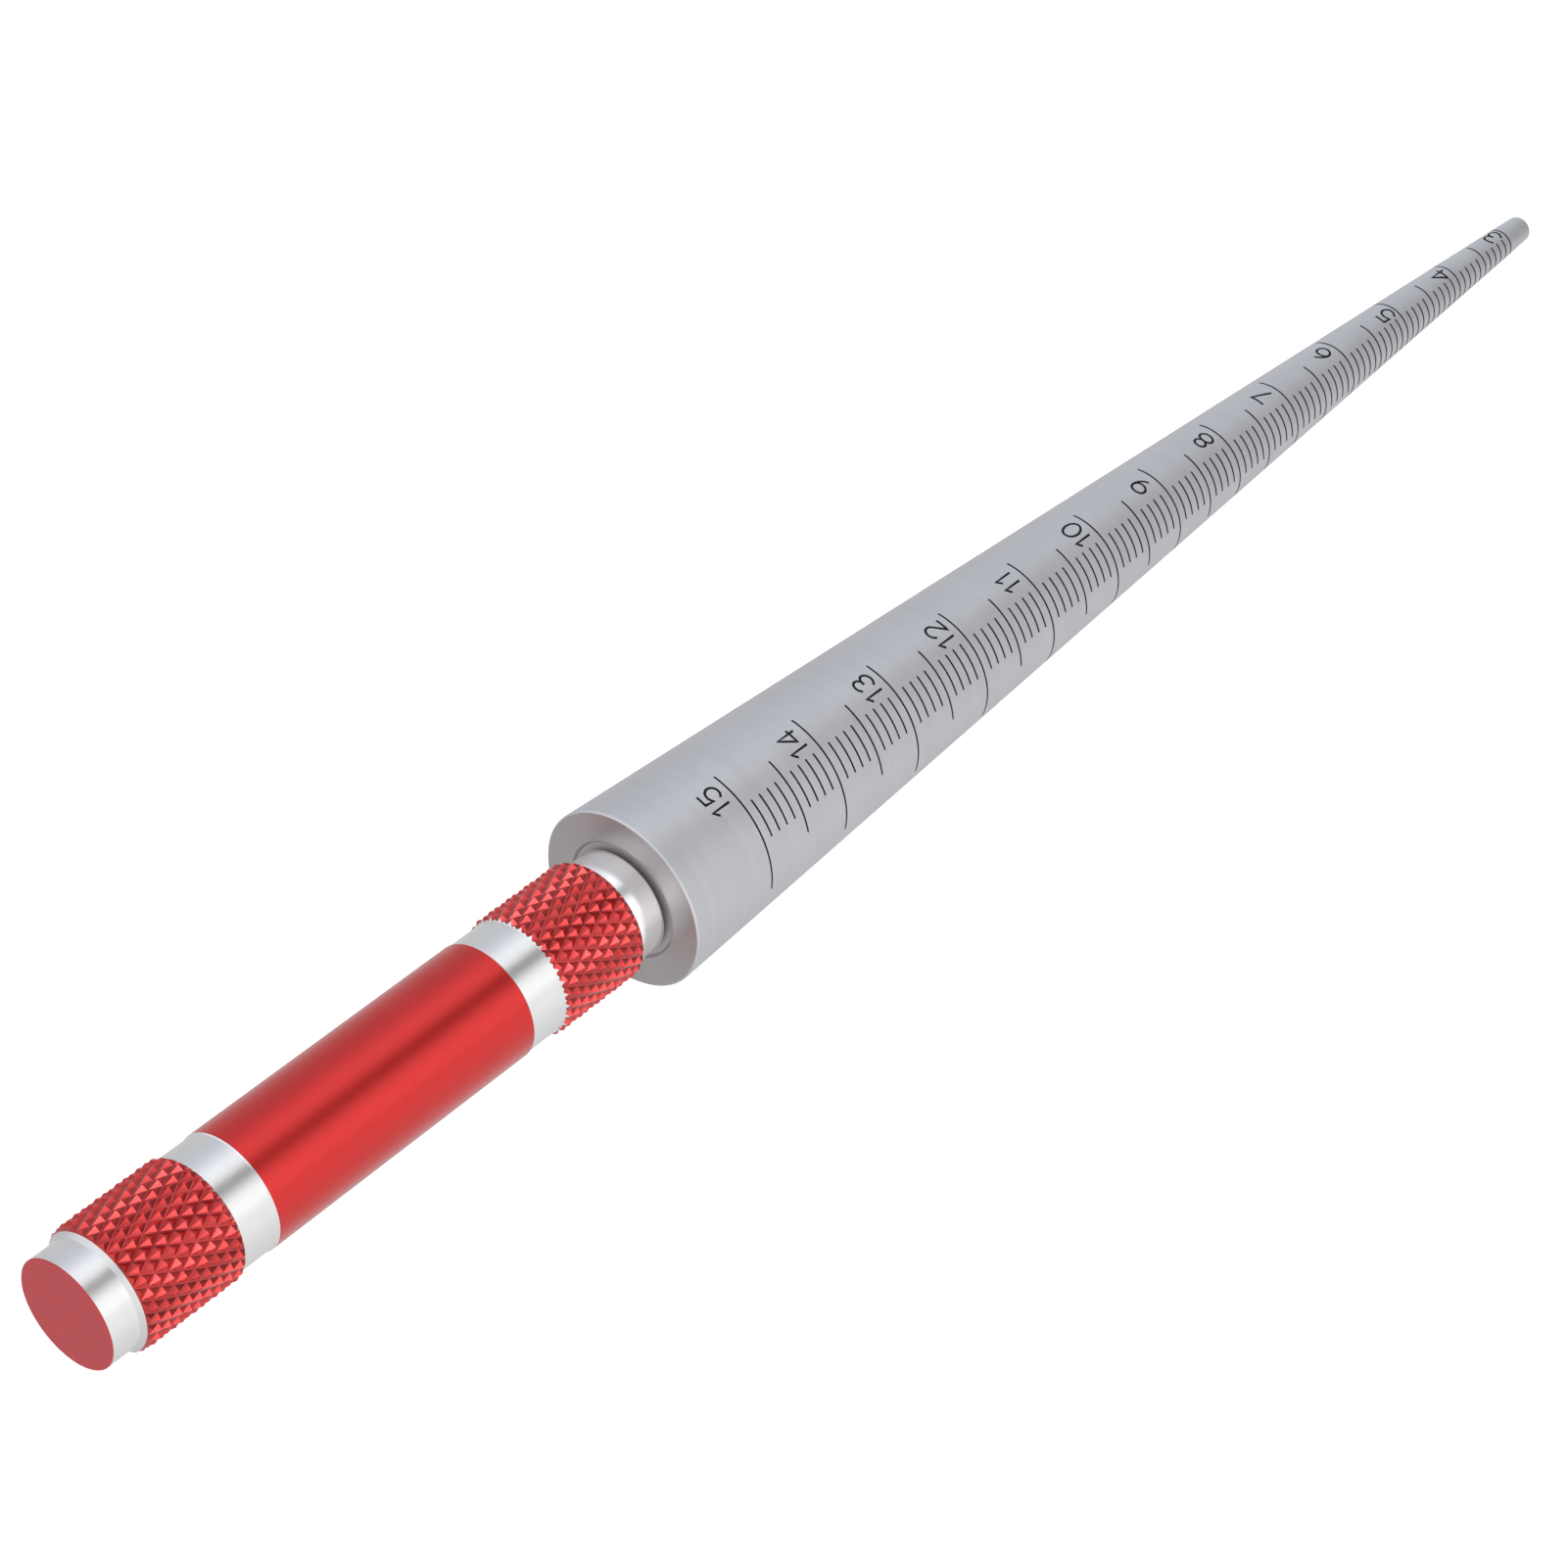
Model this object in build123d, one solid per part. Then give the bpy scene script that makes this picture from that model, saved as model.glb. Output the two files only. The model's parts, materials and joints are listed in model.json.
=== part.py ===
from build123d import *
import os

# Taper bore gauge with a screwed-on handle, lying along X.
# The origin is the centre of the handle's flat end, and +X runs to the cone's small tip.
# All sizes are in millimetres.

# Gauge cone
TAPER = 10.0                  # length over which the diameter falls by 1
MARK_15_X = 68.2              # where the cone measures 15 across
CONE_START_X = 58.7
CONE_END_X = 192.2
RIM_CHAMFER = 0.15
TIP_ROUND = 0.3
RECESS_R = 5.3                # shallow recess in the rear face, round the handle's neck
RECESS_DEPTH = 0.2

# Handle
CAP_R = 4.7                   # reduced end, also the size of the front neck
BAND_R = 5.05                 # bright bands, turned just below the barrel
BARREL_R = 5.15
KNURL_R = 5.38                # over the crests of the diamond knurl
END_EDGE = 0.1                # light edge break on the flat end and the barrel
CAP_LENGTH = 3.3
REAR_KNURL_END_X = 12.5
BARREL_START_X = 15.8
BARREL_END_X = 43.0
FRONT_KNURL_START_X = 46.5
FRONT_KNURL_END_X = 55.5
NECK_END_X = 58.5             # stops short of the cone, so that the stud is what seats
NECK_EDGE = 0.15

# Joining stud, M6 x 20, and the two blind holes that hold it
STUD_R = 3.0
STUD_LENGTH = 20.0
STUD_IN_HANDLE = 9.3
STUD_CHAMFER = 0.6
SOCKET_ACROSS_FLATS = 3.0
SOCKET_DEPTH = 3.5
RUNNING_CLEARANCE = 0.05
HOLE_R = STUD_R + RUNNING_CLEARANCE
HOLE_SPARE = 1.5              # drilled past the end of the stud
DRILL_POINT = HOLE_R * 0.6    # depth of the drill's 118 degree point
HOLE_MOUTH_R = 3.6            # over the countersink


def cone_radius(x):
    """Radius of the taper at a place along the axis."""
    return 7.5 - (x - MARK_15_X) / TAPER / 2


def turned(outline):
    """The solid that a half outline of (x, radius) points makes when it turns about the X axis."""
    profile = Plane.XY * make_face(Polyline(*outline, close=True))
    return revolve(profile, axis=Axis.X)


def blind_hole(mouth_x, direction, depth):
    """The space of a drilled hole with a 45 degree countersink, running along X from its mouth."""
    overshoot = 1.0
    countersink = HOLE_MOUTH_R - HOLE_R
    return turned([
        (mouth_x - direction * overshoot, 0),
        (mouth_x - direction * overshoot, HOLE_MOUTH_R + overshoot),
        (mouth_x + direction * countersink, HOLE_R),
        (mouth_x + direction * depth, HOLE_R),
        (mouth_x + direction * (depth + DRILL_POINT), 0),
    ])


def make_gauge_cone():
    rim_r = cone_radius(CONE_START_X)
    tip_r = cone_radius(CONE_END_X)
    floor_x = CONE_START_X + RECESS_DEPTH
    body = turned([
        (floor_x, 0),
        (floor_x, RECESS_R - RECESS_DEPTH),
        (CONE_START_X, RECESS_R),
        (CONE_START_X, rim_r - RIM_CHAMFER),
        (CONE_START_X + RIM_CHAMFER, cone_radius(CONE_START_X + RIM_CHAMFER)),
        (CONE_END_X, tip_r),
        (CONE_END_X, 0),
    ])
    tip_edge = body.edges().filter_by(GeomType.CIRCLE).sort_by(Axis.X)[-1]
    body = fillet(tip_edge, TIP_ROUND)
    stud_end_x = NECK_END_X - STUD_IN_HANDLE + STUD_LENGTH
    depth = stud_end_x - floor_x + HOLE_SPARE
    return body - blind_hole(floor_x, 1, depth)


def make_handle():
    bevel = KNURL_R - CAP_R
    step = KNURL_R - BAND_R
    body = turned([
        (0, 0),
        (0, CAP_R - END_EDGE),
        (END_EDGE, CAP_R),
        (CAP_LENGTH - bevel, CAP_R),
        (CAP_LENGTH, KNURL_R),
        (REAR_KNURL_END_X - step, KNURL_R),
        (REAR_KNURL_END_X, BAND_R),
        (BARREL_START_X, BAND_R),
        (BARREL_START_X + END_EDGE, BARREL_R),
        (BARREL_END_X - END_EDGE, BARREL_R),
        (BARREL_END_X, BAND_R),
        (FRONT_KNURL_START_X, BAND_R),
        (FRONT_KNURL_START_X + step, KNURL_R),
        (FRONT_KNURL_END_X - step, KNURL_R),
        (FRONT_KNURL_END_X, BAND_R),
        (FRONT_KNURL_END_X, CAP_R),
        (NECK_END_X - NECK_EDGE, CAP_R),
        (NECK_END_X, CAP_R - NECK_EDGE),
        (NECK_END_X, 0),
    ])
    depth = STUD_IN_HANDLE + HOLE_SPARE
    return body - blind_hole(NECK_END_X, -1, depth)


def make_joining_stud():
    start_x = NECK_END_X - STUD_IN_HANDLE
    end_x = start_x + STUD_LENGTH
    body = turned([
        (start_x, 0),
        (start_x, STUD_R - STUD_CHAMFER),
        (start_x + STUD_CHAMFER, STUD_R),
        (end_x - STUD_CHAMFER, STUD_R),
        (end_x, STUD_R - STUD_CHAMFER),
        (end_x, 0),
    ])
    hexagon = Plane.YZ * RegularPolygon(SOCKET_ACROSS_FLATS / 2, 6, major_radius=False)
    socket = Pos(start_x, 0, 0) * extrude(hexagon, SOCKET_DEPTH)
    return body - socket


PIECES = {
    "gauge_cone": make_gauge_cone,
    "handle": make_handle,
    "joining_stud": make_joining_stud,
}

os.makedirs("parts", exist_ok=True)
for node, make in PIECES.items():
    export_step(make(), f"parts/{node}.step")
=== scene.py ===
import json
import math

import bmesh
import bpy
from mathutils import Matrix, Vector


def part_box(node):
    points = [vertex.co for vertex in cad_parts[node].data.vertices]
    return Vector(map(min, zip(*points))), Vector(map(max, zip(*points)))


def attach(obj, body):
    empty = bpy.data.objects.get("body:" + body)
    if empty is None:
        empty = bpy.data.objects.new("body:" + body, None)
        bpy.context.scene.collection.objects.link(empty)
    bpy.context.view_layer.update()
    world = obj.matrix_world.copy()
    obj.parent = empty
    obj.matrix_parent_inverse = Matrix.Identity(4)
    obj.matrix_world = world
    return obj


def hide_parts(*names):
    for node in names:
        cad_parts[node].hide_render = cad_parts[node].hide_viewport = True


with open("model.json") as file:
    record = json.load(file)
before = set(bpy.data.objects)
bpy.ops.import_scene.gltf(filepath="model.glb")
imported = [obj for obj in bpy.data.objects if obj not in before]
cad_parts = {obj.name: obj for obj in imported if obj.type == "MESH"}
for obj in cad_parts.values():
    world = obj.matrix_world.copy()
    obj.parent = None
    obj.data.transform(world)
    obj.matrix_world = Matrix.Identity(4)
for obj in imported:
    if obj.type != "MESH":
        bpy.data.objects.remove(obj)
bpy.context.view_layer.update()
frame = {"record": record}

MM = 0.001
TURN = 2 * math.pi
TINY = 1e-9                   # in metres, a length that counts as nothing

# ------------------------------------------------------------------ sizes from the frame
mounts = {m["name"]: m for m in frame["record"]["mounts"]}
_, handle_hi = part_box("handle")
cone_lo, cone_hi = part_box("gauge_cone")
stud_lo, stud_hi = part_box("joining_stud")

CAP_R = mounts["butt_cap"]["dims"]["r_mm"] * MM
BARREL_R = mounts["grip"]["dims"]["r_mm"] * MM
KNURL_R = handle_hi.y
BAND_DEPTH = 0.1 * MM         # of the bright bands, below the barrel
BAND_R = BARREL_R - BAND_DEPTH
STUD_R = stud_hi.y
RUNNING_CLEARANCE = 0.05 * MM
HOLE_R = STUD_R + RUNNING_CLEARANCE

# The scale says how the taper runs: 1 of diameter in 10 of length, about the mount in its middle.
TAPER = 10.0
SCALE_MIDDLE_X = mounts["gauge_taper"]["pos_m"][0]
SCALE_MIDDLE_R = mounts["gauge_taper"]["dims"]["r_mm"] * MM

# Places along the axis
HANDLE_END_X = handle_hi.x
CONE_START_X = cone_lo.x
CONE_END_X = cone_hi.x
END_EDGE = 0.1 * MM           # light edge break on the flat end and the barrel
GRIP_LENGTH = mounts["grip"]["dims"]["length_mm"] * MM    # the barrel between its edge breaks
GRIP_MIDDLE_X = mounts["grip"]["pos_m"][0]
BARREL_START_X = GRIP_MIDDLE_X - GRIP_LENGTH / 2 - END_EDGE
BARREL_END_X = GRIP_MIDDLE_X + GRIP_LENGTH / 2 + END_EDGE
CAP_LENGTH = 3.3 * MM
REAR_BAND = 3.3 * MM
FRONT_BAND = 3.5 * MM
FRONT_KNURL = 9.0 * MM
REAR_KNURL_END_X = BARREL_START_X - REAR_BAND
FRONT_KNURL_START_X = BARREL_END_X + FRONT_BAND
FRONT_KNURL_END_X = FRONT_KNURL_START_X + FRONT_KNURL

NECK_EDGE = 0.15 * MM
RIM_CHAMFER = 0.15 * MM
TIP_ROUND = 0.3 * MM
RECESS_R = 5.3 * MM           # shallow recess in the cone's rear face, round the handle's neck
RECESS_DEPTH = 0.2 * MM
HOLE_MOUTH_R = 3.6 * MM
STUD_CHAMFER = 0.6 * MM
SOCKET_ACROSS_FLATS = 3.0 * MM
SOCKET_DEPTH = 3.5 * MM
HOLE_SPARE = 1.5 * MM         # drilled past the end of the stud
DRILL_POINT = HOLE_R * 0.6    # depth of the drill's 118 degree point

# Diamond knurl
KNURL_ROOT_R = 5.04 * MM
KNURL_FLAT_R = 5.09 * MM      # flat bottoms of the grooves
KNURL_APEX_R = 5.40 * MM
KNURL_STARTS = 30
KNURL_ROW = 1.0 * MM          # half a diamond along the axis
KNURL_GROOVE_SHADE = 0.65      # painted shade: how much darker the grooves are painted than the crests


def cone_radius(x):
    """Radius of the taper at a place along the axis."""
    return SCALE_MIDDLE_R - (x - SCALE_MIDDLE_X) / TAPER / 2


# ------------------------------------------------------------------ mesh helpers
SHARP_DEG = 30                # faces that meet at this angle or more keep a crisp edge
TURNED_SHARP_DEG = 20         # the same on the cone and the handle
MERGE_DISTANCE = 1e-7         # in metres


def new_object(name, bm, materials, sharp_deg=SHARP_DEG):
    """Turns a bmesh into an object with smooth faces that stay crisp at sharp_deg and more."""
    bmesh.ops.recalc_face_normals(bm, faces=bm.faces)
    mesh = bpy.data.meshes.new(name)
    bm.to_mesh(mesh)
    bm.free()
    for material in materials:
        mesh.materials.append(material)
    mesh.polygons.foreach_set("use_smooth", [True] * len(mesh.polygons))
    mesh.set_sharp_from_angle(angle=math.radians(sharp_deg))
    ob = bpy.data.objects.new(name, mesh)
    bpy.context.scene.collection.objects.link(ob)
    return ob


def lathe(outline, segments):
    """Turns a half outline about X into a closed shape. The outline starts and ends on the axis, and is
    [(x, radius, material of the face to the next point), ...]."""
    bm = bmesh.new()
    rings = []
    for x, r, _ in outline:
        if r < TINY:
            rings.append([bm.verts.new((x, 0, 0))])
        else:
            rings.append([
                bm.verts.new((x, r * math.cos(TURN * i / segments), r * math.sin(TURN * i / segments)))
                for i in range(segments)
            ])
    for (a, b), (_, _, material) in zip(zip(rings, rings[1:]), outline):
        for i in range(segments):
            j = (i + 1) % segments
            corners = [a[i % len(a)], a[j % len(a)], b[j % len(b)], b[i % len(b)]]
            unique = [v for k, v in enumerate(corners) if v not in corners[:k]]
            face = bm.faces.new(unique)
            face.material_index = material
    return bm


def boolean(ob, other, operation):
    """Applies a boolean of closed meshes to ob and removes the other. Faces keep their own materials."""
    modifier = ob.modifiers.new("cut", "BOOLEAN")
    modifier.operation = operation
    modifier.solver = "MANIFOLD"
    modifier.object = other
    depsgraph = bpy.context.evaluated_depsgraph_get()
    mesh = bpy.data.meshes.new_from_object(ob.evaluated_get(depsgraph))
    ob.modifiers.remove(modifier)
    old = ob.data
    ob.data = mesh
    mesh.name = old.name
    bpy.data.meshes.remove(old)
    tool = other.data
    bpy.data.objects.remove(other)
    bpy.data.meshes.remove(tool)


def finish_faces(ob, sharp_deg):
    """Cleans a mesh that booleans made, and shades it smooth up to sharp_deg."""
    bm = bmesh.new()
    bm.from_mesh(ob.data)
    bmesh.ops.remove_doubles(bm, verts=bm.verts, dist=MERGE_DISTANCE)
    bmesh.ops.dissolve_degenerate(bm, edges=bm.edges, dist=MERGE_DISTANCE)
    bmesh.ops.recalc_face_normals(bm, faces=bm.faces)
    bm.to_mesh(ob.data)
    bm.free()
    ob.data.polygons.foreach_set("use_smooth", [True] * len(ob.data.polygons))
    ob.data.set_sharp_from_angle(angle=math.radians(sharp_deg))


# ------------------------------------------------------------------ material helpers
class Nodes:
    """A node tree, with short calls for the nodes used here."""

    def __init__(self, tree):
        self.tree = tree
        self.tree.nodes.clear()

    def add(self, kind, **settings):
        node = self.tree.nodes.new(kind)
        for key, value in settings.items():
            setattr(node, key, value)
        return node

    def link(self, a, out, b, into):
        self.tree.links.new(a.outputs[out], b.inputs[into])

    def math(self, operation, *values):
        node = self.add("ShaderNodeMath", operation=operation)
        for socket, value in zip(node.inputs, values):
            if hasattr(value, "is_output"):
                self.tree.links.new(value, socket)
            else:
                socket.default_value = value
        return node.outputs[0]

    def place(self):
        """The place in the object's own frame."""
        return self.add("ShaderNodeTexCoord").outputs["Object"]

    def radius(self, place):
        """Distance from the X axis."""
        split = self.add("ShaderNodeSeparateXYZ")
        self.tree.links.new(place, split.inputs[0])
        y, z = split.outputs[1:]
        return self.math("SQRT", self.math("ADD", self.math("MULTIPLY", y, y), self.math("MULTIPLY", z, z)))

    def scaled(self, vector, scale):
        node = self.add("ShaderNodeMapping")
        node.inputs["Scale"].default_value = scale
        self.tree.links.new(vector, node.inputs["Vector"])
        return node.outputs[0]

    def noise(self, place, per_mm, detail=3.0, roughness=0.6):
        """Noise with about so many spots in a millimetre along X, Y and Z."""
        node = self.add("ShaderNodeTexNoise")
        node.inputs["Scale"].default_value = 1.0
        node.inputs["Detail"].default_value = detail
        node.inputs["Roughness"].default_value = roughness
        self.tree.links.new(self.scaled(place, [spots / MM for spots in per_mm]), node.inputs["Vector"])
        return node.outputs["Fac"]

    def weighted(self, *parts):
        """The sum of parts, which are (value, weight)."""
        total = 0.0
        for value, weight in parts:
            total = self.math("MULTIPLY_ADD", value, weight, total)
        return total

    def ramp(self, fac, stops):
        """stops is [(position, (r, g, b)), ...]"""
        node = self.add("ShaderNodeValToRGB")
        elements = node.color_ramp.elements
        while len(elements) > 1:
            elements.remove(elements[-1])
        elements[0].position = stops[0][0]
        elements[0].color = (*stops[0][1], 1)
        for position, colour in stops[1:]:
            elements.new(position).color = (*colour, 1)
        self.tree.links.new(fac, node.inputs[0])
        return node.outputs[0]

    def between(self, fac, low, high):
        """Maps 0..1 to low..high"""
        node = self.add("ShaderNodeMapRange")
        node.inputs["To Min"].default_value = low
        node.inputs["To Max"].default_value = high
        self.tree.links.new(fac, node.inputs[0])
        return node.outputs[0]

    def around(self, fac, middle, spread):
        """Maps 0..1 to a share of spread below and above the middle."""
        return self.between(fac, middle * (1 - spread), middle * (1 + spread))

    def smooth(self, value, start, end):
        """0 before start, 1 after end, and soft between. start may be the higher one."""
        node = self.add("ShaderNodeMapRange", interpolation_type="SMOOTHSTEP")
        node.inputs["From Min"].default_value = start
        node.inputs["From Max"].default_value = end
        self.tree.links.new(value, node.inputs[0])
        return node.outputs[0]

    def bump(self, height, distance):
        node = self.add("ShaderNodeBump")
        node.inputs["Distance"].default_value = distance
        node.inputs["Strength"].default_value = 1.0
        self.tree.links.new(height, node.inputs["Height"])
        return node.outputs[0]


class Material(Nodes):
    """The nodes of a new material that has one Principled shader."""

    def __init__(self, name):
        self.material = bpy.data.materials.new(name)
        self.material.use_nodes = True
        super().__init__(self.material.node_tree)
        output = self.add("ShaderNodeOutputMaterial")
        self.bsdf = self.add("ShaderNodeBsdfPrincipled")
        self.link(self.bsdf, "BSDF", output, "Surface")

    def mottle(self, mix, colour, spread, roughness):
        """Lets the base colour and the roughness wander a little with mix."""
        dark = tuple(c * (1 - spread) for c in colour)
        light = tuple(min(1.0, c * (1 + spread)) for c in colour)
        self.set(Base_Color=self.ramp(mix, [(0.3, dark), (0.7, light)]))
        self.set(Roughness=self.around(mix, roughness, ROUGHNESS_SPREAD))

    def brush_round(self, anisotropy):
        """Stretches the highlights as tool lines round the X axis do."""
        self.set(Anisotropic=anisotropy)
        tangent = self.add("ShaderNodeTangent", direction_type="RADIAL", axis="X")
        self.link(tangent, "Tangent", self.bsdf, "Tangent")

    def set(self, **values):
        for key, value in values.items():
            name = key.replace("_", " ")
            if hasattr(value, "is_output"):
                self.tree.links.new(value, self.bsdf.inputs[name])
            else:
                self.bsdf.inputs[name].default_value = value


def turned_metal(name, colour, roughness, anisotropy, line_depth, colour_spread=0.06, lines_per_mm=9.0,
                 coat=0.0, metallic=1.0):
    """Metal turned on a lathe about X: fine rings round the axis, stretched highlights along it."""
    n = Material(name)
    where = n.place()
    rings = n.noise(where, (lines_per_mm, 0.06, 0.06), detail=4.0, roughness=0.65)
    bands = n.noise(where, (1.1, 0.05, 0.05))
    blotches = n.noise(where, (0.25, 0.25, 0.25), roughness=0.55)
    mix = n.weighted((rings, 0.45), (bands, 0.3), (blotches, 0.25))
    n.mottle(mix, colour, colour_spread, roughness)
    n.set(Metallic=metallic, Coat_Weight=coat, Coat_Roughness=COAT_ROUGHNESS)
    n.brush_round(anisotropy)
    n.set(Normal=n.bump(rings, line_depth))
    return n.material


def faced_metal(name, colour, roughness, line_depth, metallic=1.0, anisotropy=0.0):
    """A face turned square to X: concentric rings about the axis."""
    n = Material(name)
    where = n.place()
    ring = n.add("ShaderNodeTexNoise", noise_dimensions="1D")
    n.tree.links.new(n.math("MULTIPLY", n.radius(where), FACE_RINGS_PER_MM / MM), ring.inputs["W"])
    ring.inputs["Scale"].default_value = 1.0
    ring.inputs["Detail"].default_value = 3.0
    blotches = n.noise(where, (0.5, 0.5, 0.5), detail=4.0)
    mix = n.weighted((ring.outputs["Fac"], 0.5), (blotches, 0.5))
    n.mottle(mix, colour, FACE_COLOUR_SPREAD, roughness)
    n.set(Metallic=metallic)
    n.brush_round(anisotropy)
    n.set(Normal=n.bump(ring.outputs["Fac"], line_depth))
    return n.material


def knurled_metal(name, colour, roughness, coat):
    """Knurled metal, with painted shade: the grooves are painted darker than the crests."""
    n = Material(name)
    where = n.place()
    height = n.smooth(n.radius(where), KNURL_FLAT_R, KNURL_R)
    grain = n.noise(where, (3.0, 3.0, 3.0))
    mix = n.weighted((height, 0.75), (grain, 0.25))
    # Painted shade: the groove colour is the crest colour darkened.
    dark = tuple(c * KNURL_GROOVE_SHADE for c in colour)
    n.set(Base_Color=n.ramp(mix, [(0.1, dark), (0.75, colour)]), Metallic=1.0)
    n.set(Roughness=n.around(grain, roughness, 0.2))
    n.set(Coat_Weight=coat, Coat_Roughness=COAT_ROUGHNESS)
    n.set(Normal=n.bump(grain, 0.006 * MM))
    return n.material


# ------------------------------------------------------------------ materials
COAT_ROUGHNESS = 0.2
ROUGHNESS_SPREAD = 0.15
FACE_RINGS_PER_MM = 5.0
FACE_COLOUR_SPREAD = 0.05
STEEL = (0.61, 0.615, 0.642)
BRIGHT = (0.80, 0.80, 0.805)
# Painted light: the neck is painted lighter than BRIGHT, the same aluminium as on the bands.
NECK_LIT = (0.95, 0.95, 0.955)
# Painted shade: the bevels are painted darker than BRIGHT, the same aluminium, to tone down their
# highlight.
BEVEL_DIMMED = (0.74, 0.74, 0.745)
BARREL_RED = (0.665, 0.029, 0.027)
KNURL_RED = (0.71, 0.038, 0.036)
END_RED = (0.455, 0.046, 0.054)
# Painted shade and a painted reflection: the rear face is painted darker and warmer than the cone's STEEL,
# the same metal.
FACE_SHADED_GREY = (0.47, 0.44, 0.445)
# Painted shade: the recess floor is painted darker and warmer than the cone's STEEL, a little lighter than
# the face.
RECESS_SHADED_GREY = (0.50, 0.46, 0.465)
# Painted shade: the drilled holes are painted dark grey, darker than the metal they are drilled in.
HOLE_SHADE_GREY = (0.33, 0.33, 0.34)
STUD_GREY = (0.34, 0.34, 0.35)

cone_steel = turned_metal("cone_steel", STEEL, 0.44, 0.35, 0.004 * MM)
# Painted shade on the rear face, with a warm tint that paints in the red handle's reflection.
cone_face = faced_metal("cone_face", FACE_SHADED_GREY, 0.42, 0.003 * MM, anisotropy=0.7)
# Painted shade in the recess round the neck.
recess_face = faced_metal("recess_face", RECESS_SHADED_GREY, 0.60, 0.003 * MM, metallic=0.7)
# Painted shade inside the drilled holes of the cone and the handle.
hole_shaded_metal = turned_metal("hole_shaded_metal", HOLE_SHADE_GREY, 0.45, 0.3, 0.01 * MM, lines_per_mm=2.0)
bright_aluminium = turned_metal("bright_aluminium", BRIGHT, 0.20, 0.4, 0.003 * MM, 0.03)
# Painted light on the neck: a lighter copy of the bright aluminium.
neck_lit_aluminium = turned_metal("neck_lit_aluminium", NECK_LIT, 0.13, 0.4, 0.003 * MM, 0.03, metallic=0.85)
# Painted shade on the bevels: a darker copy of the bright aluminium.
bevel_dimmed_aluminium = turned_metal("bevel_dimmed_aluminium", BEVEL_DIMMED, 0.34, 0.0, 0.003 * MM, 0.03)
red_satin = turned_metal("red_satin", BARREL_RED, 0.27, 0.4, 0.003 * MM, 0.05, coat=0.45)
red_knurl = knurled_metal("red_knurl", KNURL_RED, 0.24, coat=0.7)
red_end = faced_metal("red_end", END_RED, 0.55, 0.002 * MM, metallic=0.35)
stud_steel = turned_metal("stud_steel", STUD_GREY, 0.36, 0.3, 0.004 * MM)


def marking():
    """Dull black, faintly speckled."""
    n = Material("scale_marking")
    speckle = n.noise(n.place(), (6.0, 6.0, 6.0))
    n.set(Base_Color=n.ramp(speckle, [(0.3, (0.003, 0.003, 0.004)), (0.75, (0.012, 0.012, 0.014))]))
    n.set(Roughness=n.between(speckle, 0.5, 0.75), Specular_IOR_Level=0.1)
    return n.material


scale_black = marking()

# ------------------------------------------------------------------ gauge cone
CONE_SEGMENTS = 288
CONE_STEPS = 30               # rings along the taper
TIP_STEPS = 6                 # rings round the tip's edge


def blind_hole_outline(mouth_x, direction, depth, wall, bore):
    """Outline of a drilled hole from its point to its countersunk mouth."""
    countersink = HOLE_MOUTH_R - HOLE_R
    return [
        (mouth_x + direction * (depth + DRILL_POINT), 0, bore),
        (mouth_x + direction * depth, HOLE_R, bore),
        (mouth_x + direction * countersink, HOLE_R, wall),
        (mouth_x, HOLE_MOUTH_R, wall),
    ]


def make_cone():
    rim_r = cone_radius(CONE_START_X)
    tip_r = cone_radius(CONE_END_X)
    depth = stud_hi.x - CONE_START_X + HOLE_SPARE
    body, face, bore, recess = range(4)
    floor_x = CONE_START_X + RECESS_DEPTH
    outline = blind_hole_outline(floor_x, 1, depth - RECESS_DEPTH, recess, bore)
    outline += [
        (floor_x, RECESS_R - RECESS_DEPTH, recess),
        (CONE_START_X, RECESS_R, face),
        (CONE_START_X, rim_r - RIM_CHAMFER, body),
        (CONE_START_X + RIM_CHAMFER, cone_radius(CONE_START_X + RIM_CHAMFER), body),
    ]
    for i in range(1, CONE_STEPS):
        x = CONE_START_X + (CONE_END_X - TIP_ROUND - CONE_START_X) * i / CONE_STEPS
        outline.append((x, cone_radius(x), body))
    for i in range(TIP_STEPS + 1):
        a = math.pi / 2 * i / TIP_STEPS
        outline.append((
            CONE_END_X - TIP_ROUND * (1 - math.sin(a)),
            tip_r - TIP_ROUND * (1 - math.cos(a)),
            body if i < TIP_STEPS else face,
        ))
    outline.append((CONE_END_X, 0, face))
    bm = lathe(outline, CONE_SEGMENTS)
    return new_object("gauge_taper", bm, [cone_steel, cone_face, hole_shaded_metal, recess_face], TURNED_SHARP_DEG)


cone = make_cone()

# ------------------------------------------------------------------ handle
HANDLE_SEGMENTS = 240
KNURL_ZONES = ((2 * MM, 14 * MM), (45 * MM, 57 * MM))    # each a little longer than its knurl
SLEEVE_R = 8 * MM             # clear of the handle
SLEEVE_SEGMENTS = 60
GROOVE_SEGMENTS = 120


def knurled_blank(x0, x1):
    """A closed bar of diamond pyramids from x0 to x1, longer than the zone it will show in."""
    bm = bmesh.new()
    columns = 2 * KNURL_STARTS
    count = round((x1 - x0) / KNURL_ROW)
    rings = []
    for k in range(count + 1):
        ring = []
        for m in range(columns):
            r = KNURL_ROOT_R if (m + k) % 2 == 0 else KNURL_APEX_R
            a = TURN * m / columns
            ring.append(bm.verts.new((x0 + k * KNURL_ROW, r * math.cos(a), r * math.sin(a))))
        rings.append(ring)
    for k in range(count):
        for m in range(columns):
            n = (m + 1) % columns
            a, b, c, d = rings[k][m], rings[k][n], rings[k + 1][n], rings[k + 1][m]
            if (m + k) % 2 == 0:
                bm.faces.new((a, b, c))
                bm.faces.new((a, c, d))
            else:
                bm.faces.new((a, b, d))
                bm.faces.new((b, c, d))
    for ring, x in ((rings[0], x0), (rings[-1], x1)):
        centre = bm.verts.new((x, 0, 0))
        for m in range(columns):
            bm.faces.new((ring[m], ring[(m + 1) % columns], centre))
    bmesh.ops.recalc_face_normals(bm, faces=bm.faces)
    return bm


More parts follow.
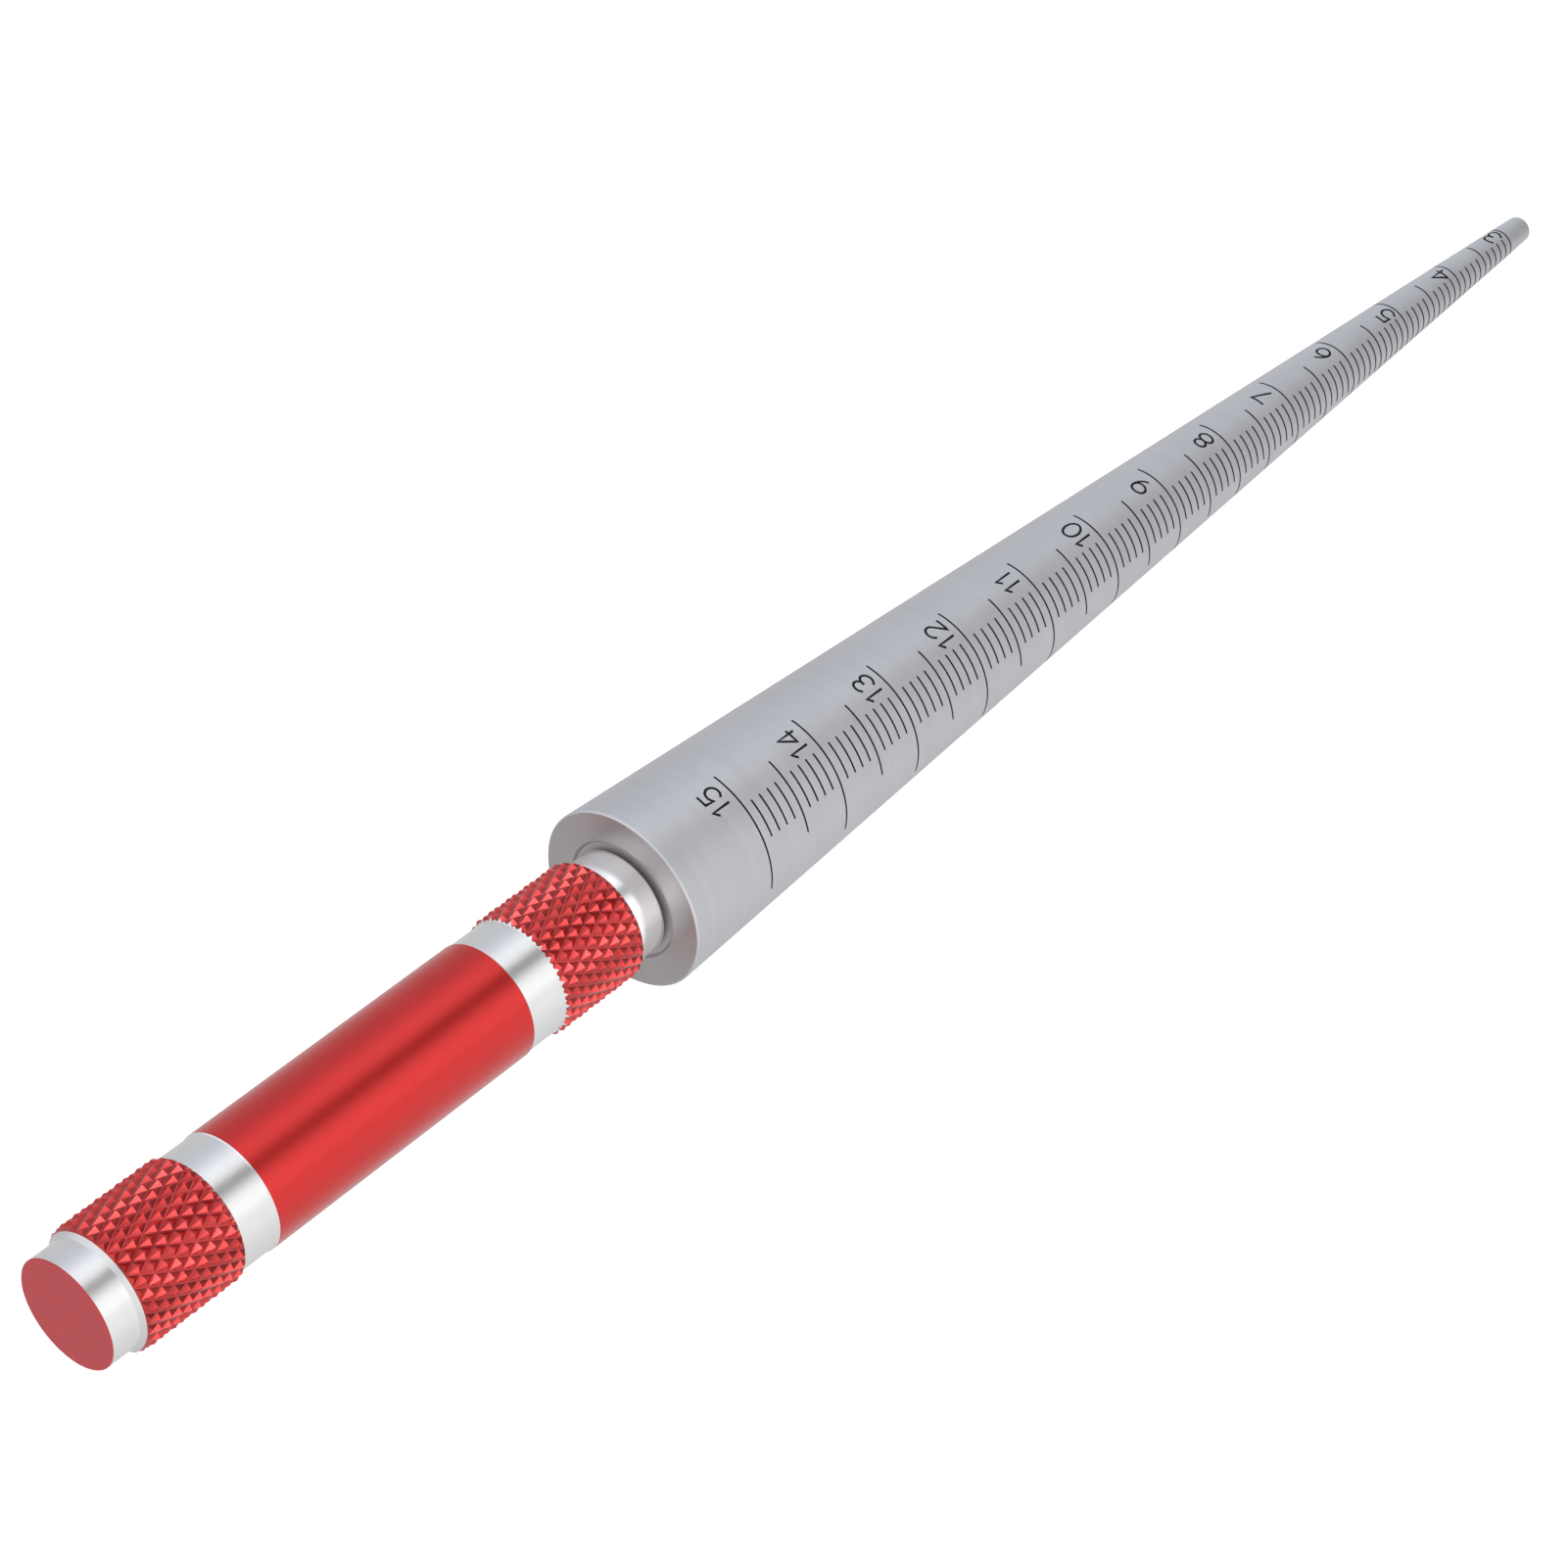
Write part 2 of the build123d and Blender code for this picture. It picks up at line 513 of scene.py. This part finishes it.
def cut_knurl(handle, x0, x1, slots, knurl):
    """Cuts the diamond knurl into the handle where it is thicker than the knurl, from x0 to x1."""
    sleeve = new_object("sleeve", lathe([
        (x0, 0, knurl),
        (x0, SLEEVE_R, knurl),
        (x1, SLEEVE_R, knurl),
        (x1, 0, knurl),
    ], SLEEVE_SEGMENTS), slots)
    blank = knurled_blank(x0 - KNURL_ROW, x1 + KNURL_ROW)
    for face in blank.faces:
        face.material_index = knurl
    core = new_object("core", blank, slots)
    flats = new_object("flats", lathe([
        (x0 - 2 * KNURL_ROW, 0, knurl),
        (x0 - 2 * KNURL_ROW, KNURL_FLAT_R, knurl),
        (x1 + 2 * KNURL_ROW, KNURL_FLAT_R, knurl),
        (x1 + 2 * KNURL_ROW, 0, knurl),
    ], GROOVE_SEGMENTS), slots)
    boolean(core, flats, "UNION")
    boolean(sleeve, core, "DIFFERENCE")
    boolean(handle, sleeve, "DIFFERENCE")


def make_handle():
    slots = [red_end, bright_aluminium, red_satin, red_knurl, hole_shaded_metal, neck_lit_aluminium, bevel_dimmed_aluminium]
    end, bright, satin, knurl, bore, neck, edge = range(7)
    bevel = KNURL_R - CAP_R
    step = KNURL_R - BAND_R
    depth = HANDLE_END_X - stud_lo.x + HOLE_SPARE
    outline = [
        (0, 0, end),
        (0, CAP_R - END_EDGE, end),
        (END_EDGE, CAP_R, bright),
        (CAP_LENGTH - bevel, CAP_R, edge),
        (CAP_LENGTH - step, BAND_R, knurl),
        (CAP_LENGTH, KNURL_R, knurl),
        (REAR_KNURL_END_X - step, KNURL_R, bright),
        (REAR_KNURL_END_X, BAND_R, bright),
        (BARREL_START_X, BAND_R, bright),
        (BARREL_START_X + END_EDGE, BARREL_R, satin),
        (BARREL_END_X - END_EDGE, BARREL_R, bright),
        (BARREL_END_X, BAND_R, bright),
        (FRONT_KNURL_START_X, BAND_R, bright),
        (FRONT_KNURL_START_X + step, KNURL_R, knurl),
        (FRONT_KNURL_END_X - step, KNURL_R, bright),
        (FRONT_KNURL_END_X, BAND_R, bright),
        (FRONT_KNURL_END_X, CAP_R, neck),
        (HANDLE_END_X - NECK_EDGE, CAP_R, neck),
        (HANDLE_END_X, CAP_R - NECK_EDGE, bright),
    ]
    countersink = HOLE_MOUTH_R - HOLE_R
    outline += [
        (HANDLE_END_X, HOLE_MOUTH_R, bright),
        (HANDLE_END_X - countersink, HOLE_R, bore),
        (HANDLE_END_X - depth, HOLE_R, bore),
        (HANDLE_END_X - depth - DRILL_POINT, 0, bore),
    ]
    ob = new_object("handle_bar", lathe(outline, HANDLE_SEGMENTS), slots)
    for x0, x1 in KNURL_ZONES:
        cut_knurl(ob, x0, x1, slots, knurl)
    finish_faces(ob, TURNED_SHARP_DEG)
    return ob


handle = make_handle()

# ------------------------------------------------------------------ joining stud
THREAD_PITCH = 1.0 * MM
THREAD_DEPTH = 0.6 * MM
THREAD_TURNS = 27             # of the blank, longer than the stud at both ends
THREAD_SPARE = 3              # turns of it ahead of the stud's start
THREAD_COLUMNS = 48
CREST_CLEARANCE = 0.003 * MM
STUD_SEGMENTS = 96
THREAD_SHARP_DEG = 25
# Where the crest and the root each start and end, as shares of the pitch
THREAD_CREST = (0.0, 0.13)
THREAD_ROOT = (0.48, 0.65)


def thread_blank(x0, turns, crest_r):
    """A closed right-hand thread, longer than the stud, that will be trimmed to length."""
    bm = bmesh.new()
    columns = THREAD_COLUMNS
    root_r = crest_r - THREAD_DEPTH
    profile = [(share, crest_r) for share in THREAD_CREST] + [(share, root_r) for share in THREAD_ROOT]
    per_turn = len(profile)
    rows = turns * per_turn
    grid = []
    for i in range(rows + 1):
        share, r = profile[i % per_turn]
        start = x0 + (i // per_turn + share) * THREAD_PITCH
        grid.append([
            bm.verts.new((
                start + THREAD_PITCH * j / columns,
                r * math.cos(TURN * j / columns),
                r * math.sin(TURN * j / columns),
            ))
            for j in range(columns)
        ])
    for i in range(rows):
        for j in range(columns - 1):
            bm.faces.new((grid[i][j], grid[i][j + 1], grid[i + 1][j + 1], grid[i + 1][j]))
        if i + 1 + per_turn <= rows:
            bm.faces.new((grid[i][-1], grid[i + per_turn][0], grid[i + per_turn + 1][0], grid[i + 1][-1]))
    first = grid[0] + [grid[i][0] for i in range(per_turn, 0, -1)]
    last = grid[rows] + [grid[i][-1] for i in range(rows - 1, rows - per_turn - 1, -1)]
    for loop, x in ((first, x0 - THREAD_PITCH), (last, x0 + (turns + 2) * THREAD_PITCH)):
        centre = bm.verts.new((x, 0, 0))
        for a, b in zip(loop, loop[1:] + loop[:1]):
            bm.faces.new((a, b, centre))
    return bm


def make_stud():
    x0, x1 = stud_lo.x, stud_hi.x
    envelope = lathe([
        (x0, 0, 0),
        (x0, STUD_R - STUD_CHAMFER, 0),
        (x0 + STUD_CHAMFER, STUD_R, 0),
        (x1 - STUD_CHAMFER, STUD_R, 0),
        (x1, STUD_R - STUD_CHAMFER, 0),
        (x1, 0, 0),
    ], STUD_SEGMENTS)
    ob = new_object("threaded_stud", envelope, [stud_steel])
    blank = thread_blank(x0 - THREAD_SPARE * THREAD_PITCH, THREAD_TURNS, STUD_R - CREST_CLEARANCE)
    boolean(ob, new_object("thread", blank, [stud_steel]), "INTERSECT")
    corner_r = SOCKET_ACROSS_FLATS / 2 / math.cos(math.pi / 6)
    socket = lathe([
        (x0 - THREAD_PITCH, 0, 0),
        (x0 - THREAD_PITCH, corner_r, 0),
        (x0 + SOCKET_DEPTH, corner_r, 0),
        (x0 + SOCKET_DEPTH, 0, 0),
    ], 6)
    boolean(ob, new_object("socket", socket, [stud_steel]), "DIFFERENCE")
    finish_faces(ob, THREAD_SHARP_DEG)
    return ob


stud = make_stud()

# ------------------------------------------------------------------ scale
SCALE_AZIMUTH = math.radians(38.1)    # where the scale's origin line stands, from +Z towards -Y
LINE_WIDTH = 0.18 * MM
LETTER_WIDTH = 0.23 * MM
PROUD = 0.006 * MM
SUNK = 0.02 * MM
SHORT_TICK = (-3.3, 0.1)      # arc from the origin line, in mm, + towards the top
HALF_TICK = (-5.1, 1.72)
LONG_LINE = (-7.8, 3.43)
TEXT_HEIGHT = 2.0
TEXT_FOOT = 0.85              # from the long line to the numeral's foot
TEXT_MIDDLE = 1.75
THIN_END_NUMBERS = (3, 4, 5)  # these stand closer to their lines and to the ticks
THIN_END_FOOT = 0.5
THIN_END_MIDDLE = 0.95
DIGIT_WIDTH = 1.35
MAX_STEP = math.radians(2.5)  # of a strip round the cone
MOST_ROUND = 0.985            # share of the way round that a long line may take
MITRE_LIMIT = 1.6             # how much wider a strip may get at a sharp corner


def on_cone(x, arc, lift):
    """A point of the scale: x along the axis, arc round the cone from the origin line, lift off it."""
    r = cone_radius(x)
    angle = SCALE_AZIMUTH - arc / r
    return (x, -(r + lift) * math.sin(angle), (r + lift) * math.cos(angle))


def ribbon(bm, path, width):
    """A thin closed strip along a path of (x, arc) points, lying on the cone."""
    sides = []
    count = len(path)
    for i, (x, s) in enumerate(path):
        before = path[max(i - 1, 0)]
        after = path[min(i + 1, count - 1)]
        din = Vector((x - before[0], s - before[1]))
        dout = Vector((after[0] - x, after[1] - s))
        if din.length < TINY:
            din = dout
        if dout.length < TINY:
            dout = din
        din.normalize()
        dout.normalize()
        tangent = (din + dout).normalized()
        normal = Vector((-tangent.y, tangent.x))
        stretch = 1 / max(1 / MITRE_LIMIT, tangent.dot(dout))
        offset = normal * width / 2 * stretch
        sides.append([
            bm.verts.new(on_cone(x + offset.x, s + offset.y, PROUD)),
            bm.verts.new(on_cone(x - offset.x, s - offset.y, PROUD)),
            bm.verts.new(on_cone(x - offset.x, s - offset.y, -SUNK)),
            bm.verts.new(on_cone(x + offset.x, s + offset.y, -SUNK)),
        ])
    for a, b in zip(sides, sides[1:]):
        for i in range(4):
            j = (i + 1) % 4
            bm.faces.new((a[i], a[j], b[j], b[i]))
    bm.faces.new(sides[0])
    bm.faces.new(sides[-1][::-1])


def divided(path, r):
    """The path with points added, so that it follows the round surface."""
    out = [path[0]]
    for (x0, s0), (x1, s1) in zip(path, path[1:]):
        parts = max(1, math.ceil(abs(s1 - s0) / r / MAX_STEP))
        for k in range(1, parts + 1):
            out.append((x0 + (x1 - x0) * k / parts, s0 + (s1 - s0) * k / parts))
    return out


def mark_x(diameter):
    """Where the cone is so many millimetres across."""
    return SCALE_MIDDLE_X + (2 * SCALE_MIDDLE_R - diameter * MM) * TAPER


def make_ticks():
    bm = bmesh.new()
    for tenth in range(30, 151):
        x = mark_x(tenth / 10)
        r = cone_radius(x)
        low, high = SHORT_TICK
        if tenth % 10 == 0:
            low, high = LONG_LINE
        elif tenth % 5 == 0:
            low, high = HALF_TICK
        low, high = low * MM, high * MM
        low = max(low, high - TURN * r * MOST_ROUND)
        ribbon(bm, divided([(x, low), (x, high)], r), LINE_WIDTH)
    return new_object("scale_lines", bm, [scale_black])


def arc_points(cx, cy, rx, ry, start_deg, end_deg, steps=18):
    """Points along part of an ellipse."""
    return [
        (
            cx + rx * math.cos(math.radians(start_deg + (end_deg - start_deg) * i / steps)),
            cy + ry * math.sin(math.radians(start_deg + (end_deg - start_deg) * i / steps)),
        )
        for i in range(steps + 1)
    ]


def turned_over(strokes):
    """The strokes turned half a turn."""
    return [[(1 - u, 1 - v) for u, v in stroke] for stroke in strokes]


SIX = [arc_points(0.5, 0.31, 0.48, 0.31, 180, 540, 28),
       arc_points(1.02, 0.31, 1.0, 0.71, 180, 112, 12)]
DIGITS = {
    # width in digit widths, strokes with u along the reading direction and v up, both 0 to 1
    "0": (1.0, [arc_points(0.5, 0.5, 0.5, 0.5, 90, 450, 32)]),
    "1": (0.36, [[(0.0, 0.78), (1.0, 1.0), (1.0, 0.0)]]),
    "2": (1.0, [arc_points(0.5, 0.70, 0.46, 0.30, 170, -28, 18) + [(0.04, 0.0), (1.0, 0.0)]]),
    "3": (1.0, [arc_points(0.48, 0.75, 0.42, 0.25, 160, -90, 16)
                + arc_points(0.48, 0.26, 0.48, 0.26, 90, -160, 18)]),
    "4": (1.0, [[(0.72, 0.0), (0.72, 1.0), (0.0, 0.27), (1.0, 0.27)]]),
    "5": (1.0, [[(0.92, 1.0), (0.18, 1.0), (0.10, 0.54)]
                + arc_points(0.48, 0.33, 0.48, 0.33, 130, -150, 20)]),
    "6": (1.0, SIX),
    "7": (1.0, [[(0.0, 1.0), (1.0, 1.0), (0.32, 0.0)]]),
    "8": (1.0, [arc_points(0.5, 0.76, 0.40, 0.24, 90, 450, 24),
                arc_points(0.5, 0.26, 0.5, 0.26, 90, 450, 28)]),
    "9": (1.0, turned_over(SIX)),
}
LETTER_GAP = 0.62             # clear space between two digits, in mm


def make_numerals():
    bm = bmesh.new()
    for number in range(3, 16):
        x = mark_x(number)
        text = str(number)
        widths = [DIGITS[c][0] * DIGIT_WIDTH for c in text]
        total = sum(widths) + LETTER_GAP * (len(text) - 1)
        thin_end = number in THIN_END_NUMBERS
        foot = THIN_END_FOOT if thin_end else TEXT_FOOT
        left = (THIN_END_MIDDLE if thin_end else TEXT_MIDDLE) - total / 2
        for character, width in zip(text, widths):
            for stroke in DIGITS[character][1]:
                path = [
                    (
                        x - (foot + v * TEXT_HEIGHT) * MM,
                        (left + u * width) * MM,
                    )
                    for u, v in stroke
                ]
                ribbon(bm, divided(path, cone_radius(x)), LETTER_WIDTH)
            left += width + LETTER_GAP
    return new_object("scale_numerals", bm, [scale_black])


ticks = make_ticks()
numerals = make_numerals()

# ------------------------------------------------------------------ how the pieces ride
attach(cone, "gauge")
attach(ticks, "gauge")
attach(numerals, "gauge")
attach(handle, "handle")
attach(stud, "stud")
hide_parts("gauge_cone")
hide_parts("handle")
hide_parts("joining_stud")

# ------------------------------------------------------------------ floor
FLOOR_Z = -0.10
FLOOR_HALF_SIZE = 4.0
FLOOR_GLOW = 0.45             # lifts the floor to plain white


def make_floor():
    """Pale paper that glows a little."""
    n = Material("floor_paper")
    grain = n.noise(n.place(), (0.04, 0.04, 0.04), roughness=0.5)
    n.set(Base_Color=n.ramp(grain, [(0.3, (0.92, 0.92, 0.92)), (0.7, (0.94, 0.94, 0.94))]), Roughness=0.9)
    n.set(Emission_Color=(1, 1, 1, 1), Emission_Strength=FLOOR_GLOW)
    bm = bmesh.new()
    bmesh.ops.create_grid(bm, x_segments=1, y_segments=1, size=FLOOR_HALF_SIZE)
    floor = new_object("floor", bm, [n.material])
    floor.location = (CONE_START_X, 0, FLOOR_Z)
    return floor


floor = make_floor()
floor.visible_glossy = False  # the metal mirrors the soft studio light instead

# ------------------------------------------------------------------ light
scene = bpy.context.scene
scene.view_settings.view_transform = "Standard"
scene.view_settings.look = "None"

# Light by the angle round the gauge, in degrees from straight up towards -Y. The first level is for light
# from beside the gauge, and the second for light from ahead of its tip, which is darker over most of the
# upper half. The third number is a blue tint.
LIGHT_AROUND = [
    (-180, 0.75, 0.72, 0.0), (-120, 0.68, 0.72, 0.0), (-90, 0.64, 0.84, 0.0), (-69, 0.66, 0.86, 0.03),
    (-57, 0.66, 0.76, 0.06), (-45, 0.69, 0.65, 0.08), (-33, 0.76, 0.57, 0.07), (-21, 0.91, 0.54, 0.06),
    (-9, 1.10, 0.52, 0.05), (3, 1.12, 0.50, 0.02), (14, 0.82, 0.49, 0.0), (21, 0.36, 0.46, 0.0),
    (32, 0.33, 0.43, 0.0), (40, 0.72, 0.38, 0.0), (51, 1.10, 0.25, 0.0), (63, 1.25, 0.14, 0.0),
    (77, 1.25, 0.12, 0.0), (87, 1.04, 0.18, 0.0), (99, 1.02, 0.34, 0.0), (111, 1.02, 0.52, 0.0),
    (123, 0.96, 0.66, 0.0), (135, 0.90, 0.76, 0.0), (147, 0.86, 0.84, 0.0), (180, 0.78, 0.76, 0.0),
]
AHEAD_START = 0.62            # share of a ray's direction along +X where the second level starts to come in
AHEAD_FULL = 0.78
# Three lamps: the way to each, its extra light, and the cosines at its soft rim and where it is full
LAMPS = [
    ((0.00, -0.34, 0.94), 3.0, (0.93, 0.985)),
    ((-0.20, -0.97, -0.10), 1.4, (0.86, 0.97)),
    ((0.93, -0.36, 0.05), 0.35, (0.965, 0.99)),
]
HANDLE_SIDE_LIGHT = 0.3       # extra light from above and behind the handle
WHITE_BEHIND = 1.05           # what the camera sees past the floor


def world_level(n, direction):
    """The studio's light by direction."""
    split = n.add("ShaderNodeSeparateXYZ")
    n.tree.links.new(direction, split.inputs[0])
    x, y, z = split.outputs
    around = n.math("ARCTAN2", n.math("MULTIPLY", y, -1), z)
    around = n.math("ADD", n.math("DIVIDE", around, TURN), 0.5)
    ramps = []
    for column in (1, 2):
        stops = []
        for row in LIGHT_AROUND:
            level, blue = row[column], row[3]
            stops.append(((row[0] + 180) / 360, (level * (1 - blue / 2), level, level * (1 + blue))))
        ramps.append(n.ramp(around, stops))
    mix = n.add("ShaderNodeMix", data_type="RGBA")
    n.tree.links.new(n.smooth(x, AHEAD_START, AHEAD_FULL), mix.inputs["Factor"])
    n.tree.links.new(ramps[0], mix.inputs["A"])
    n.tree.links.new(ramps[1], mix.inputs["B"])
    side = n.math("MULTIPLY", n.smooth(x, 0.0, -0.5), n.smooth(z, -0.1, 0.3))
    side = n.math("MULTIPLY", side, n.smooth(y, -0.25, 0.3))
    extra = n.math("MULTIPLY", side, HANDLE_SIDE_LIGHT)
    for towards, level, edge in LAMPS:
        dot = n.add("ShaderNodeVectorMath", operation="DOT_PRODUCT")
        dot.inputs[1].default_value = towards
        n.tree.links.new(direction, dot.inputs[0])
        extra = n.math("ADD", extra, n.math("MULTIPLY", n.smooth(dot.outputs["Value"], *edge), level))
    total = n.add("ShaderNodeMix", data_type="RGBA", blend_type="ADD")
    total.inputs["Factor"].default_value = 1.0
    n.tree.links.new(mix.outputs["Result"], total.inputs["A"])
    n.tree.links.new(extra, total.inputs["B"])
    return total.outputs["Result"]


def make_world():
    """Soft light from all round, and plain white where the camera looks past the floor."""
    world = bpy.data.worlds.new("studio")
    world.use_nodes = True
    n = Nodes(world.node_tree)
    output = n.add("ShaderNodeOutputWorld")
    studio = n.add("ShaderNodeBackground")
    white = n.add("ShaderNodeBackground")
    white.inputs["Color"].default_value = (1, 1, 1, 1)
    white.inputs["Strength"].default_value = WHITE_BEHIND
    mix = n.add("ShaderNodeMixShader")
    path = n.add("ShaderNodeLightPath")
    n.link(path, "Is Camera Ray", mix, "Fac")
    n.tree.links.new(studio.outputs[0], mix.inputs[1])
    n.tree.links.new(white.outputs[0], mix.inputs[2])
    n.link(mix, "Shader", output, "Surface")
    texco = n.add("ShaderNodeTexCoord")
    n.tree.links.new(world_level(n, texco.outputs["Generated"]), studio.inputs["Color"])
    scene.world = world


make_world()

# ------------------------------------------------------------------ camera
CAMERA_PLACE = (-0.12126, -0.16593, 0.20573)
CAMERA_TURN = (51.55, 0.0, -50.315)    # degrees
CAMERA_LENS = 93.14
CAMERA_SENSOR = 36.0
camera_data = bpy.data.cameras.new("camera")
camera_data.sensor_width = CAMERA_SENSOR
camera_data.lens = CAMERA_LENS
camera_data.clip_start = 0.01
camera = bpy.data.objects.new("camera", camera_data)
camera.location = CAMERA_PLACE
camera.rotation_euler = [math.radians(a) for a in CAMERA_TURN]
scene.collection.objects.link(camera)
scene.camera = camera
